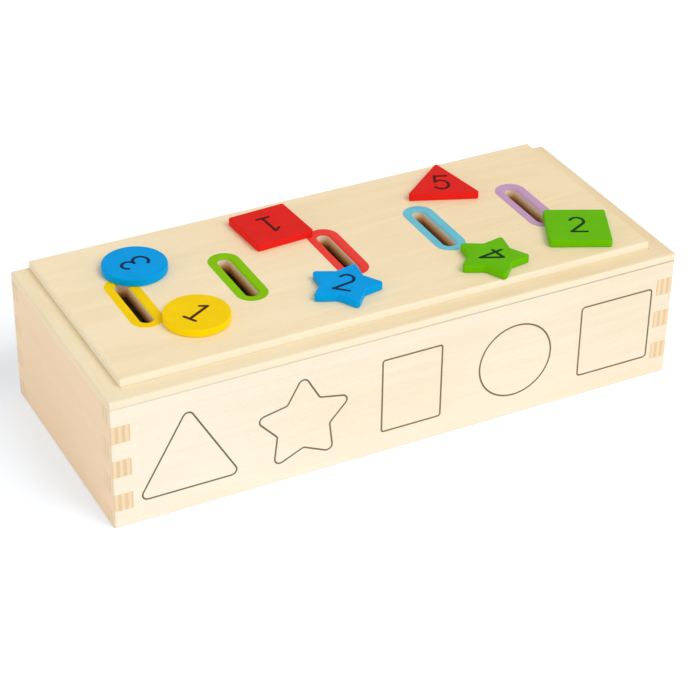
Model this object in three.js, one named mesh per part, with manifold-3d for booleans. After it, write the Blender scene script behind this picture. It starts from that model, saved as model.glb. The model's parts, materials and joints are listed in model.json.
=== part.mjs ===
// A wooden shape sorter box: finger-jointed plywood walls round five bays, a lid with five slots that
// slides out to the back under rebated rails, and a set of tokens, five shapes in five numbers each.
// Lengths are millimetres and angles are degrees. +Z is up, the front faces -Y, and the origin is the
// centre of the box's underside.
import * as THREE from 'three';
import { mergeVertices } from 'three/addons/utils/BufferGeometryUtils.js';
import Module from 'manifold-3d';

const wasm = await Module();
wasm.setup();

// Box, outside
const boxLength = 375;
const boxDepth = 156.5;
const wallThickness = 12;
const fingerHeight = 11.6;
const fingerCount = 7;
const boxCornerRadius = 1.6;

// Floor panel and its groove
const floorThickness = 4;
const floorLift = 6;
const floorGrooveDepth = 5;

// Bays and the dividers between them
const bayCount = 5;
const dividerThickness = 4;
const dividerHeadroom = 1;
const dadoDepth = 4;

// Rails
const railThickness = 5;
const railLipThickness = 2.2;
const railLipReach = 5.3;
const railEdgeRadius = 1.5;

// Lid
const lidThickness = 10;
const lidTongueThickness = 2.4;
const lidTongueReach = 5;
const lidEdgeRadius = 1.2;

// Slots in the lid
const slotWidth = 8.5;
const slotLength = 47.4;
const slotPitch = 67;
const slotRowX = -3.2;
const slotRowY = 6.2;
const slotEdgeRadius = 0.8;

// Tokens
const tokenThickness = 5;
const tokenEdgeRadius = 0.7;
const circleDiameter = 40;
const squareSide = 39;
const squareCornerRadius = 1.8;
const rectangleLength = 38.5;
const rectangleDepth = 31;
const rectangleCornerRadius = 1.8;
const triangleCornerCount = 3;
const triangleSide = 46.9;
const triangleCornerRadius = 1.6;
const starPointCount = 5;
const starDiameter = 47.6;
const starWaistShare = 0.6;
const starTipRadius = 1.9;
const starWaistRadius = 2.4;

// Clearances
const glueClearance = 0.3;
const slideClearance = 0.3;
const tokenGap = 1.4;
const cutOverrun = 1;
const weldDistance = 0.0001;

// Facets
const cornerFacets = 3;
const circleFacets = 60;
const slotEndFacets = 10;
const lidEdgeFacets = 3;
const tokenEdgeFacets = 1;

// Sizes that follow
const wallHeight = fingerHeight * fingerCount;
const innerLength = boxLength - 2 * wallThickness;
const innerDepth = boxDepth - 2 * wallThickness;
const floorTop = floorLift + floorThickness;
const railWidth = wallThickness;
const lidTop = wallHeight + lidThickness;
const bayWidth = (innerLength - (bayCount - 1) * dividerThickness) / bayCount;
const bayPitch = bayWidth + dividerThickness;

// Finishes
const faceVeneer = new THREE.MeshStandardMaterial({ color: '#f6e4c4', roughness: 0.6, metalness: 0 });
const innerVeneer = new THREE.MeshStandardMaterial({ color: '#d9b98a', roughness: 0.7, metalness: 0 });
const paints = ['#f8cf08', '#5cb811', '#ea2f2f', '#0d97e6', '#9a6fc4'].map(
  (color) => new THREE.MeshStandardMaterial({ color, roughness: 0.4, metalness: 0 }),
);

const sorterBox = new THREE.Group();
sorterBox.name = 'shape_sorter_box';

function addPiece(name, geometry, material) {
  const piece = new THREE.Mesh(geometry, material);
  piece.name = name;
  sorterBox.add(piece);
  return piece;
}

// Solids for cutting and joining

function toSolid(geometry) {
  const bare = geometry.clone();
  bare.deleteAttribute('normal');
  bare.deleteAttribute('uv');
  const welded = mergeVertices(bare, weldDistance);
  return new wasm.Manifold(new wasm.Mesh({
    numProp: 3,
    vertProperties: new Float32Array(welded.getAttribute('position').array),
    triVerts: new Uint32Array(welded.getIndex().array),
  }));
}

function toGeometry(solid) {
  const { vertProperties, triVerts } = solid.getMesh();
  const geometry = new THREE.BufferGeometry();
  geometry.setAttribute('position', new THREE.BufferAttribute(vertProperties, 3));
  geometry.setIndex(new THREE.BufferAttribute(triVerts, 1));
  geometry.computeVertexNormals();
  return geometry;
}

function cutAway(geometry, cutters) {
  return toGeometry(cutters.reduce((solid, cutter) => solid.subtract(toSolid(cutter)), toSolid(geometry)));
}

function block(low, high) {
  const size = new THREE.Vector3().subVectors(high, low);
  const centre = new THREE.Vector3().addVectors(low, high).divideScalar(2);
  return new THREE.BoxGeometry(size.x, size.y, size.z).translate(centre.x, centre.y, centre.z);
}

// Outline with each corner rounded to its own radius; the points run counter-clockwise
function roundedOutline(points, radiusOf) {
  const outline = new THREE.Shape();
  points.forEach((corner, index) => {
    const before = points[(index + points.length - 1) % points.length];
    const after = points[(index + 1) % points.length];
    const toBefore = before.clone().sub(corner).normalize();
    const toAfter = after.clone().sub(corner).normalize();
    const halfAngle = Math.acos(toBefore.dot(toAfter)) / 2;
    const radius = radiusOf(index);
    const bisector = toBefore.clone().add(toAfter).normalize();
    const centre = corner.clone().addScaledVector(bisector, radius / Math.sin(halfAngle));
    const start = corner.clone().addScaledVector(toBefore, radius / Math.tan(halfAngle)).sub(centre);
    const end = corner.clone().addScaledVector(toAfter, radius / Math.tan(halfAngle)).sub(centre);
    const isHollow = toBefore.cross(toAfter) > 0;
    outline.absarc(centre.x, centre.y, radius, start.angle(), end.angle(), isHollow);
  });
  return outline;
}

function rectanglePoints(width, depth) {
  const corner = new THREE.Vector2(width / 2, depth / 2);
  return [[-1, -1], [1, -1], [1, 1], [-1, 1]].map(([x, y]) => new THREE.Vector2(x, y).multiply(corner));
}

// Points at equal angles round the origin, the first straight up, at the radius that radiusOf gives
function pointsRound(count, radiusOf) {
  return Array.from({ length: count }, (_, index) => {
    const angle = Math.PI / 2 + (index * 2 * Math.PI) / count;
    return new THREE.Vector2(Math.cos(angle), Math.sin(angle)).multiplyScalar(radiusOf(index));
  });
}

// Flat board with softened arrises, lying on z = 0 and no wider than its outline
function softenedBoard(outline, thickness, edgeRadius, edgeFacets, curveSegments) {
  return new THREE.ExtrudeGeometry(outline, {
    depth: thickness - 2 * edgeRadius,
    bevelThickness: edgeRadius,
    bevelSize: edgeRadius,
    bevelOffset: -edgeRadius,
    bevelSegments: edgeFacets,
    curveSegments,
  }).translate(0, 0, edgeRadius);
}

// Walls, with finger joints at the corners

// Side view of a wall: levels that keep their finger reach halfReach, the others stop one wall short
function fingeredOutline(halfReach, bottomKeepsFinger) {
  const rightEnd = Array.from({ length: fingerCount }, (_, level) => {
    const keepsFinger = (level % 2 === 0) === bottomKeepsFinger;
    const x = keepsFinger ? halfReach : halfReach - wallThickness;
    const bottom = level * fingerHeight;
    return [new THREE.Vector2(x, bottom), new THREE.Vector2(x, bottom + fingerHeight)];
  }).flat();
  const leftEnd = rightEnd.map((point) => new THREE.Vector2(-point.x, point.y)).reverse();
  return new THREE.Shape([...rightEnd, ...leftEnd]);
}

function standingBoard(outline, alongBoard, outOfBoard, start) {
  const up = new THREE.Vector3(0, 0, 1);
  const stand = new THREE.Matrix4().makeBasis(alongBoard, up, outOfBoard).setPosition(start);
  const options = { depth: wallThickness, bevelEnabled: false };
  return new THREE.ExtrudeGeometry(outline, options).applyMatrix4(stand);
}

const alongX = new THREE.Vector3(1, 0, 0);
const alongY = new THREE.Vector3(0, 1, 0);
const longOutline = fingeredOutline(boxLength / 2, true);
const shortOutline = fingeredOutline(boxDepth / 2, false);

const wallBlanks = {
  front_wall: standingBoard(
    longOutline, alongX, alongY.clone().negate(), new THREE.Vector3(0, -innerDepth / 2, 0)),
  back_wall: standingBoard(
    longOutline, alongX, alongY.clone().negate(), new THREE.Vector3(0, boxDepth / 2, 0)),
  left_wall: standingBoard(shortOutline, alongY, alongX, new THREE.Vector3(-boxLength / 2, 0, 0)),
  right_wall: standingBoard(shortOutline, alongY, alongX, new THREE.Vector3(innerLength / 2, 0, 0)),
};

const grooveReach = new THREE.Vector2(innerLength / 2 + floorGrooveDepth, innerDepth / 2 + floorGrooveDepth);
const floorGroove = block(
  new THREE.Vector3(-grooveReach.x, -grooveReach.y, floorLift - glueClearance),
  new THREE.Vector3(grooveReach.x, grooveReach.y, floorTop + glueClearance),
);

const dividerPlaces = Array.from({ length: bayCount - 1 }, (_, index) => (
  -innerLength / 2 + (index + 1) * bayPitch - dividerThickness / 2
));
const dadoHalfWidth = dividerThickness / 2 + glueClearance;
const dadoReach = innerDepth / 2 + dadoDepth;
const dados = dividerPlaces.map((x) => block(
  new THREE.Vector3(x - dadoHalfWidth, -dadoReach, floorTop),
  new THREE.Vector3(x + dadoHalfWidth, dadoReach, wallHeight + cutOverrun),
));

// The glued box is sanded round at its four upright corners
const sandedOutline = roundedOutline(rectanglePoints(boxLength, boxDepth), () => boxCornerRadius);
const sandedBody = toSolid(new THREE.ExtrudeGeometry(sandedOutline, {
  depth: wallHeight + railThickness,
  bevelEnabled: false,
  curveSegments: cornerFacets,
}));

function sanded(geometry) {
  return toGeometry(toSolid(geometry).intersect(sandedBody));
}

for (const [name, blank] of Object.entries(wallBlanks)) {
  addPiece(name, sanded(cutAway(blank, [floorGroove, ...dados])), faceVeneer);
}

// Floor and dividers

const floorReach = grooveReach.clone().subScalar(glueClearance);
addPiece('floor_panel', block(
  new THREE.Vector3(-floorReach.x, -floorReach.y, floorLift),
  new THREE.Vector3(floorReach.x, floorReach.y, floorTop),
), innerVeneer);

dividerPlaces.forEach((x, index) => {
  const reach = dadoReach - glueClearance;
  addPiece(`divider_${index + 1}`, block(
    new THREE.Vector3(x - dividerThickness / 2, -reach, floorTop),
    new THREE.Vector3(x + dividerThickness / 2, reach, wallHeight - dividerHeadroom),
  ), innerVeneer);
});

// Rails, mitred at the front corners, each with a lip over the lid's tongue

// Section of a rail: x runs inwards from the box's face and y up from the wall's top edge
function railSection() {
  const section = new THREE.Shape();
  section.moveTo(0, 0);
  section.lineTo(railWidth - railLipReach, 0);
  section.lineTo(railWidth - railLipReach, railThickness - railLipThickness);
  section.lineTo(railWidth, railThickness - railLipThickness);
  section.lineTo(railWidth, railThickness);
  section.absarc(railEdgeRadius, railThickness - railEdgeRadius, railEdgeRadius, Math.PI / 2, Math.PI, false);
  return section.getPoints(cornerFacets);
}

// Length of moulding from one end to the other, along the section's own normal; each end places the
// section's points itself, so a mitre is a place that moves with the inward distance
function moulding(section, placeStart, placeEnd) {
  const caps = THREE.ShapeUtils.triangulateShape(section, []);
  const points = [...section.map(placeStart), ...section.map(placeEnd)];
  const faces = [];
  section.forEach((_, index) => {
    const next = (index + 1) % section.length;
    faces.push([index, next, section.length + next], [index, section.length + next, section.length + index]);
  });
  for (const [a, b, c] of caps) {
    faces.push([c, b, a], [section.length + a, section.length + b, section.length + c]);
  }
  const geometry = new THREE.BufferGeometry().setFromPoints(points);
  geometry.setIndex(faces.flat());
  geometry.computeVertexNormals();
  return geometry;
}

function railPoint(x, y, rise) {
  return new THREE.Vector3(x, y, wallHeight + rise);
}

const leftFrontMitre = (p) => railPoint(p.x - boxLength / 2, p.x - boxDepth / 2, p.y);
const rightFrontMitre = (p) => railPoint(boxLength / 2 - p.x, p.x - boxDepth / 2, p.y);
const leftBackEnd = (p) => railPoint(p.x - boxLength / 2, boxDepth / 2, p.y);
const rightBackEnd = (p) => railPoint(boxLength / 2 - p.x, boxDepth / 2, p.y);

addPiece('front_rail', sanded(moulding(railSection(), leftFrontMitre, rightFrontMitre)), faceVeneer);
addPiece('left_rail', sanded(moulding(railSection(), leftBackEnd, leftFrontMitre)), faceVeneer);
addPiece('right_rail', sanded(moulding(railSection(), rightFrontMitre, rightBackEnd)), faceVeneer);

// Lid: a raised field between the rails, on a tongue that runs under their lips

const fieldHalfLength = boxLength / 2 - railWidth - slideClearance;
const fieldFront = railWidth + slideClearance - boxDepth / 2;
const fieldDepth = boxDepth / 2 - fieldFront;
const fieldOutline = new THREE.Shape(rectanglePoints(2 * fieldHalfLength, fieldDepth));
const field = softenedBoard(fieldOutline, lidThickness, lidEdgeRadius, lidEdgeFacets, cornerFacets)
  .translate(0, fieldFront + fieldDepth / 2, wallHeight);
const tongue = block(
  new THREE.Vector3(-fieldHalfLength - lidTongueReach, fieldFront - lidTongueReach, wallHeight),
  new THREE.Vector3(fieldHalfLength + lidTongueReach, boxDepth / 2, wallHeight + lidTongueThickness),
);

// Straight slot with round ends, and the flare that eases its edge at the lid's top
function slotCutters(index) {
  const endPlace = (slotLength - slotWidth) / 2;
  const outline = new THREE.Shape();
  outline.absarc(0, endPlace, slotWidth / 2, 0, Math.PI, false);
  outline.absarc(0, -endPlace, slotWidth / 2, Math.PI, 2 * Math.PI, false);
  const straight = new THREE.ExtrudeGeometry(outline, {
    depth: lidThickness + 2 * cutOverrun,
    bevelEnabled: false,
    curveSegments: slotEndFacets,
  });
  const flare = new THREE.ExtrudeGeometry(outline, {
    depth: cutOverrun,
    bevelThickness: slotEdgeRadius + cutOverrun,
    bevelSize: slotEdgeRadius + cutOverrun,
    bevelOffset: -cutOverrun,
    bevelSegments: 1,
    curveSegments: slotEndFacets,
  });
  const x = slotRowX + (index - (bayCount - 1) / 2) * slotPitch;
  return [
    straight.translate(x, slotRowY, wallHeight - cutOverrun),
    flare.translate(x, slotRowY, lidTop),
  ];
}

const allSlotCutters = Array.from({ length: bayCount }, (_, index) => slotCutters(index)).flat();
addPiece('lid_panel', cutAway(toGeometry(toSolid(field).add(toSolid(tongue))), allSlotCutters), faceVeneer);

// Tokens: each shape lies on z = 0 with its number's head towards +Y

function circleOutline() {
  return new THREE.Shape().absarc(0, 0, circleDiameter / 2, 0, 2 * Math.PI, false);
}

function triangleOutline() {
  const tip = triangleSide / (2 * Math.sin(Math.PI / triangleCornerCount));
  return roundedOutline(pointsRound(triangleCornerCount, () => tip), () => triangleCornerRadius);
}

function starOutline() {
  const tip = starDiameter / 2;
  const points = pointsRound(2 * starPointCount, (index) => (index % 2 === 0 ? tip : tip * starWaistShare));
  return roundedOutline(points, (index) => (index % 2 === 0 ? starTipRadius : starWaistRadius));
}

const tokenShapes = {
  triangle: {
    outline: triangleOutline(),
    facets: cornerFacets,
    firstPaint: 2,
  },
  star: { outline: starOutline(), facets: cornerFacets, firstPaint: 0 },
  rectangle: {
    outline: roundedOutline(rectanglePoints(rectangleLength, rectangleDepth), () => rectangleCornerRadius),
    facets: cornerFacets,
    firstPaint: 4,
  },
  circle: { outline: circleOutline(), facets: circleFacets, firstPaint: 1 },
  square: {
    outline: roundedOutline(rectanglePoints(squareSide, squareSide), () => squareCornerRadius),
    facets: cornerFacets,
    firstPaint: 3,
  },
};
const numbers = [1, 2, 3, 4, 5];

// Each shape steps through the same five paints, one step a number, from a first paint of its own
function tokenPaint(shapeName, number) {
  const step = tokenShapes[shapeName].firstPaint - number;
  return paints[((step % paints.length) + paints.length) % paints.length];
}

function tokenGeometry(shapeName) {
  const { outline, facets } = tokenShapes[shapeName];
  const geometry = softenedBoard(outline, tokenThickness, tokenEdgeRadius, tokenEdgeFacets, facets);
  geometry.computeBoundingBox();
  return geometry;
}

// The tokens left out on the lid, as shares of the box's length and depth from its middle
const lidTokenShares = {
  circle_1: { along: -0.297, across: -0.171, turn: -60.6 },
  circle_3: { along: -0.326, across: 0.2575, turn: 101 },
  square_1: { along: -0.077, across: 0.302, turn: 183.5 },
  star_2: { along: -0.052, across: -0.2224, turn: -42.3 },
  triangle_5: { along: 0.2445, across: 0.3003, turn: -21.5 },
  star_4: { along: 0.2011, across: -0.2863, turn: 99.2 },
  square_2: { along: 0.3773, across: -0.2332, turn: -25.2 },
};

for (const [key, place] of Object.entries(lidTokenShares)) {
  const [shapeName, number] = key.split('_');
  const name = `${shapeName}_token_${number}`;
  const token = addPiece(name, tokenGeometry(shapeName), tokenPaint(shapeName, Number(number)));
  token.position.set(place.along * boxLength, place.across * boxDepth, lidTop);
  token.rotation.z = THREE.MathUtils.degToRad(place.turn);
}

// The other tokens lie in the bay of their shape, in a row from front to back as far as the bay holds
// them, and the rest stand on edge between that row and the divider
function fillBay(shapeName, bayX) {
  const waiting = numbers.filter((number) => !(`${shapeName}_${number}` in lidTokenShares));
  const { min, max } = tokenGeometry(shapeName).boundingBox;
  const width = max.x - min.x;
  const depth = max.y - min.y;
  const lyingCount = Math.min(waiting.length, Math.floor((innerDepth - tokenGap) / (depth + tokenGap)));
  const standingCount = waiting.length - lyingCount;
  const standingRoom = standingCount > 0 ? tokenThickness + tokenGap : 0;
  const lyingX = bayX - standingRoom / 2 - (min.x + max.x) / 2;
  const standingX = bayX + bayWidth / 2 - tokenGap - tokenThickness;

  const evenSpread = (count, size, index) => {
    const gap = (innerDepth - count * size) / (count + 1);
    return -innerDepth / 2 + gap + index * (size + gap);
  };

  waiting.forEach((number, index) => {
    const geometry = tokenGeometry(shapeName);
    const token = addPiece(`${shapeName}_token_${number}`, geometry, tokenPaint(shapeName, number));
    if (index < lyingCount) {
      token.position.set(lyingX, evenSpread(lyingCount, depth, index) - min.y, floorTop);
      return;
    }
    const y = evenSpread(standingCount, width, index - lyingCount) - min.x;
    const onEdge = new THREE.Matrix4().makeBasis(alongY, new THREE.Vector3(0, 0, 1), alongX);
    token.applyMatrix4(onEdge);
    token.position.set(standingX, y, floorTop - min.y);
  });
}

Object.keys(tokenShapes).forEach((shapeName, index) => {
  fillBay(shapeName, -innerLength / 2 + bayWidth / 2 + index * bayPitch);
});

export default sorterBox;
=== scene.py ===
# %% [markdown]
# A wooden shape sorter box
#
# This toy is a finger-jointed plywood box with five bays. A lid with five painted slots slides out to
# the back under three rails, and twenty-five painted tokens, five shapes in five numbers each, go
# through the slots. The construction comes ready made, at its real size, as a set of named boards and
# tokens. What is left to do here is the finish: softened edges, wood grain, paint, the printed
# outlines and numbers, and the light.

# %% Load the construction
import json
import math

import bmesh
import bpy
from mathutils import Matrix, Vector

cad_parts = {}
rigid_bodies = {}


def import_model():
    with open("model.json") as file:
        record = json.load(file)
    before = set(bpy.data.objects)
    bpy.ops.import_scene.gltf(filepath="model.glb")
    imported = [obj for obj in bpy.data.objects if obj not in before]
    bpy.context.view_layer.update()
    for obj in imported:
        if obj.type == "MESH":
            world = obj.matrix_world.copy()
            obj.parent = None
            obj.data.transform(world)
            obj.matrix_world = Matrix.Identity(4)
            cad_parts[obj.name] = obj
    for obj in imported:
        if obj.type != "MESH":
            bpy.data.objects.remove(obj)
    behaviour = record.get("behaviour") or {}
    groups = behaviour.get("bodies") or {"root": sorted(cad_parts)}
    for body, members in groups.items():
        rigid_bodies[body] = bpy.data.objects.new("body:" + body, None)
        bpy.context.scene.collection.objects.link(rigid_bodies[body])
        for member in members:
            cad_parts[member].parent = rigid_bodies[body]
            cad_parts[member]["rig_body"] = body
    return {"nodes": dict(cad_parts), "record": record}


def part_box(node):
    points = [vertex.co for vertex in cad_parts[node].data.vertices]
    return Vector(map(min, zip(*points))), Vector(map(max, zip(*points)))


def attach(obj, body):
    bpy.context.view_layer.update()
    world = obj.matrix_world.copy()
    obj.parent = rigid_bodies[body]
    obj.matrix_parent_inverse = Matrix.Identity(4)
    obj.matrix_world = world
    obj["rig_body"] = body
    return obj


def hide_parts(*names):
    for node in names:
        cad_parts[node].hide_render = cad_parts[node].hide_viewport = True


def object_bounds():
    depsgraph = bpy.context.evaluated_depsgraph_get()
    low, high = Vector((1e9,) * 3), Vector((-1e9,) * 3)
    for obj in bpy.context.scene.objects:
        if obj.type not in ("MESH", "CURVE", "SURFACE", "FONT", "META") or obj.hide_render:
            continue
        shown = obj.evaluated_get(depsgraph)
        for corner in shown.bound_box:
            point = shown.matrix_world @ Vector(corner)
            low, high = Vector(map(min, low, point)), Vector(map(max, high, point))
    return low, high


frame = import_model()
nodes = frame["nodes"]
cad_low, cad_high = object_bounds()
MM = 0.001
print(f"{len(nodes)} boards and tokens, {[round(side / MM, 1) for side in cad_high - cad_low]} mm")

# %% [markdown]
# The camera stands to the left of the front and looks down on it from a little over one and a third
# metres with a long lens, which is how a catalogue picture of a small toy is taken. It is placed by two
# angles and a distance from the point that it looks at, so that each of them can be changed alone.

# %% Place the camera
CAMERA_TARGET = Vector((-3.3, -8.8, 30.6)) * MM
CAMERA_AZIMUTH = math.radians(-27.742)
CAMERA_ELEVATION = math.radians(32.906)
CAMERA_DISTANCE = 1349.9 * MM
CAMERA_ROLL = math.radians(0.95)
CAMERA_LENS = 113.06
SENSOR_WIDTH = 36


def direction_to(azimuth, elevation):
    """Direction away from the toy: azimuth from the front's normal to the right, elevation above it."""
    flat = math.cos(elevation)
    return Vector((flat * math.sin(azimuth), -flat * math.cos(azimuth), math.sin(elevation)))


def linked_object(name, data):
    """An object of this name and data, linked to the scene."""
    made = bpy.data.objects.new(name, data)
    bpy.context.scene.collection.objects.link(made)
    return made


def add_camera():
    data = bpy.data.cameras.new("camera")
    data.lens = CAMERA_LENS
    data.sensor_width = SENSOR_WIDTH
    camera = linked_object("camera", data)
    towards = direction_to(CAMERA_AZIMUTH, CAMERA_ELEVATION)
    turn = (-towards).to_track_quat("-Z", "Y").to_matrix().to_4x4()
    place = Matrix.Translation(CAMERA_TARGET + CAMERA_DISTANCE * towards)
    camera.matrix_world = place @ turn @ Matrix.Rotation(CAMERA_ROLL, 4, "Z")
    bpy.context.scene.camera = camera
    return camera


camera = add_camera()
print("camera at", [round(value, 3) for value in camera.matrix_world.translation])

# %% [markdown]
# A finish is a small program of nodes, and long sums of Math nodes are hard to read. So one class
# wraps an output socket and lets it stand in a Python sum: each operator adds its Math node. Other
# nodes come from the method node, which sets a node's own settings first, because some of them change
# which sockets it has.

# %% Write node trees as sums
class Wire:
    """An output socket of a node tree. In a sum with numbers or other wires it adds a Math node."""

    def __init__(self, tree, socket=None):
        self.tree = tree
        self.socket = socket

    def node(self, kind, settings=None, inputs=None, output=0):
        added = self.tree.nodes.new(kind)
        for name, value in (settings or {}).items():
            setattr(added, name, value)
        for key, value in (inputs or {}).items():
            if isinstance(value, Wire):
                self.tree.links.new(value.socket, added.inputs[key])
            else:
                added.inputs[key].default_value = value
        return Wire(self.tree, added.outputs[output]) if added.outputs else added

    def math(self, operation, *terms):
        return self.node("ShaderNodeMath", {"operation": operation}, dict(enumerate(terms)))

    def __add__(self, other):
        return self.math("ADD", self, other)

    def __sub__(self, other):
        return self.math("SUBTRACT", self, other)

    def __rsub__(self, other):
        return self.math("SUBTRACT", other, self)

    def __mul__(self, other):
        return self.math("MULTIPLY", self, other)

    def __truediv__(self, other):
        return self.math("DIVIDE", self, other)

    def __mod__(self, other):
        return self.math("MODULO", self, other)

    def __abs__(self):
        return self.math("ABSOLUTE", self)

    __radd__ = __add__
    __rmul__ = __mul__

    def at_most(self, limit):
        return self.math("MINIMUM", self, limit)

    def at_least(self, limit):
        return self.math("MAXIMUM", self, limit)

    def whole(self):
        return self.math("FLOOR", self)

    def root(self):
        return self.math("SQRT", self)

    def ramp(self, low, high):
        """0 up to low, 1 from high on, and a smooth rise between them."""
        return self.node(
            "ShaderNodeMapRange",
            {"interpolation_type": "SMOOTHSTEP"},
            {"Value": self, "From Min": low, "From Max": high},
        )

    def axis(self, index):
        return self.node("ShaderNodeSeparateXYZ", inputs={0: self}, output=index)


def empty_tree(owner):
    """Clears the nodes of a material or a world, and gives a wire to start from."""
    owner.use_nodes = True
    owner.node_tree.nodes.clear()
    return Wire(owner.node_tree)


print("a wire knows", ", ".join(name for name in vars(Wire) if not name.startswith("_")))

# %% [markdown]
# Colours never go through these sums, since a Math node turns a colour grey. They are mixed, and they
# are written as the numbers from 0 to 255 that a picture shows. The grain of wood and the clouds in
# paint are noise, whose blotches can be longer along one axis. A finish starts from the place on the
# piece and the direction that its surface faces, and ends in one shader with a bump.

# %% Mix colours, make noise and close a finish
COLOUR_A, COLOUR_B, COLOUR_RESULT = 6, 7, 2


def mixed(share, colour_a, colour_b):
    """colour_a where share is 0 and colour_b where it is 1; a colour is a wire or four numbers."""
    return share.node(
        "ShaderNodeMix",
        {"data_type": "RGBA"},
        {0: share, COLOUR_A: colour_a, COLOUR_B: colour_b},
        output=COLOUR_RESULT,
    )


def srgb(red, green, blue):
    """The colour that a picture shows as these 0 to 255 values, as Blender's linear numbers."""
    def linear(value):
        share = value / 255
        return share / 12.92 if share <= 0.04045 else ((share + 0.055) / 1.055) ** 2.4
    return (linear(red), linear(green), linear(blue), 1.0)


def palette(**colours):
    """Colours by name, each from the three numbers that a picture shows."""
    return {name: srgb(*numbers) for name, numbers in colours.items()}


def noise(place, sizes, seed, detail=2.0, distortion=0.0):
    """Noise from 0 to 1 whose blotches are about as long along X, Y and Z as the three sizes."""
    scaled = place.node(
        "ShaderNodeVectorMath",
        {"operation": "MULTIPLY_ADD"},
        {0: place, 1: [1 / size for size in sizes], 2: (seed, seed, seed)},
    )
    return place.node("ShaderNodeTexNoise", inputs={
        "Vector": scaled, "Scale": 1.0, "Detail": detail, "Distortion": distortion,
    })


def new_finish(name):
    """An empty material, with wires for the place on the piece and for its surface's direction."""
    material = bpy.data.materials.new(name)
    start = empty_tree(material)
    place = start.node("ShaderNodeTexCoord", output="Object")
    direction = start.node("ShaderNodeTexCoord", output="Normal")
    return material, place, direction


def close_finish(colour, roughness, height, relief, shine):
    """Ends a finish: height, from 0 to 1, stands for a real relief of that many metres."""
    bumped = colour.node("ShaderNodeBump", inputs={
        "Strength": 1.0, "Distance": relief, "Height": height})
    shader = colour.node("ShaderNodeBsdfPrincipled", inputs={
        "Base Color": colour, "Roughness": roughness, "Normal": bumped, "Specular IOR Level": shine,
    })
    colour.node("ShaderNodeOutputMaterial", inputs={"Surface": shader})


print("a picture's mid grey is", round(srgb(128, 128, 128)[0], 3), "in linear light")

# %% [markdown]
# Wood is a bundle of fibres along one axis of the board. Fine fibres give the surface its lines, the
# growth of the tree gives it a soft figure of bands, and short flecks lie between them. Each is noise
# that is stretched along the fibres, at its own size. Every board has its seed, so that no two look
# alike, and each pattern adds its own number to it.

# %% Describe wood by its fibres
FIBRE_LENGTH = 26 * MM
FIBRE_WIDTH = 0.5 * MM
FIGURE_LENGTH = 210 * MM
FIGURE_WIDTH = 21 * MM
FIGURE_BEND = 0.25
RING_COUNT = 4.5
FLECK_LENGTH = 2.6 * MM
FLECK_WIDTH = 0.22 * MM
FLECK_CONTRAST = (0.64, 0.76)


def along(axis, length, width):
    return [length if index == axis else width for index in range(3)]


def grain(place, axis, seed):
    """Fine fibres, the soft figure of growth and short flecks, each from 0 to 1, along one axis."""
    fibres = noise(place, along(axis, FIBRE_LENGTH, FIBRE_WIDTH), seed, detail=3.0)
    growth = noise(
        place, along(axis, FIGURE_LENGTH, FIGURE_WIDTH), seed + 3, detail=1.0,
        distortion=FIGURE_BEND)
    figure = abs((growth * RING_COUNT) % 1 - 0.5) * 2
    flecks = noise(place, along(axis, FLECK_LENGTH, FLECK_WIDTH), seed + 7, detail=1.0)
    return fibres, figure, flecks.ramp(*FLECK_CONTRAST)


print(f"fibres {FIBRE_LENGTH / MM:.0f} mm long and {FIBRE_WIDTH / MM:.1f} mm wide")

# %% [markdown]
# Plywood is a stack of thin veneers, each turned a quarter turn from the one below it. A board's face
# shows one veneer, with its fibres along the board. Its edges show all of them, as stripes: where the
# fibres run along the edge a stripe is pale, and where they point out of it, as cut straw does, the
# stripe drinks the lacquer and goes darker. So the pattern isn't painted on each side by hand. The
# depth below the face says which veneer a point is in, and the angle between its fibres and the
# surface says how much end grain shows. Rounded corners then come out right by themselves. A board may
# also have painted shade, such as a darker line along a joint: a function that gives its share anywhere.

# %% Turn fibres into a finish
X, Y, Z = 0, 1, 2
CLOUD_SIZE = 70 * MM
PORE_SIZE = 0.3 * MM
FIBRE_SHARE, FIGURE_SHARE, CLOUD_SHARE = 0.34, 0.3, 0.36
FIBRE_CONTRAST = (0.3, 0.75)
CLOUD_CONTRAST = (0.25, 0.75)
PORE_CONTRAST = (0.3, 0.7)
FLECK_SHARE = 0.35
FACE_TURN = (0.2, 0.8)
EDGE_TINT = 0.9
END_GRAIN_TURN = (0.35, 0.9)
GLUE_BROWN = srgb(150, 104, 62)
GLUE_PLACE = (0.42, 0.49)
GLUE_SHARE = 0.15
WOOD_ROUGHNESS = 0.5
END_GRAIN_ROUGHNESS = 0.14
FIBRE_ROUGHNESS = 0.1
FLECK_DEPTH = 0.5
WOOD_RELIEF = 0.02 * MM
WOOD_SHINE = 0.5


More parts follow.
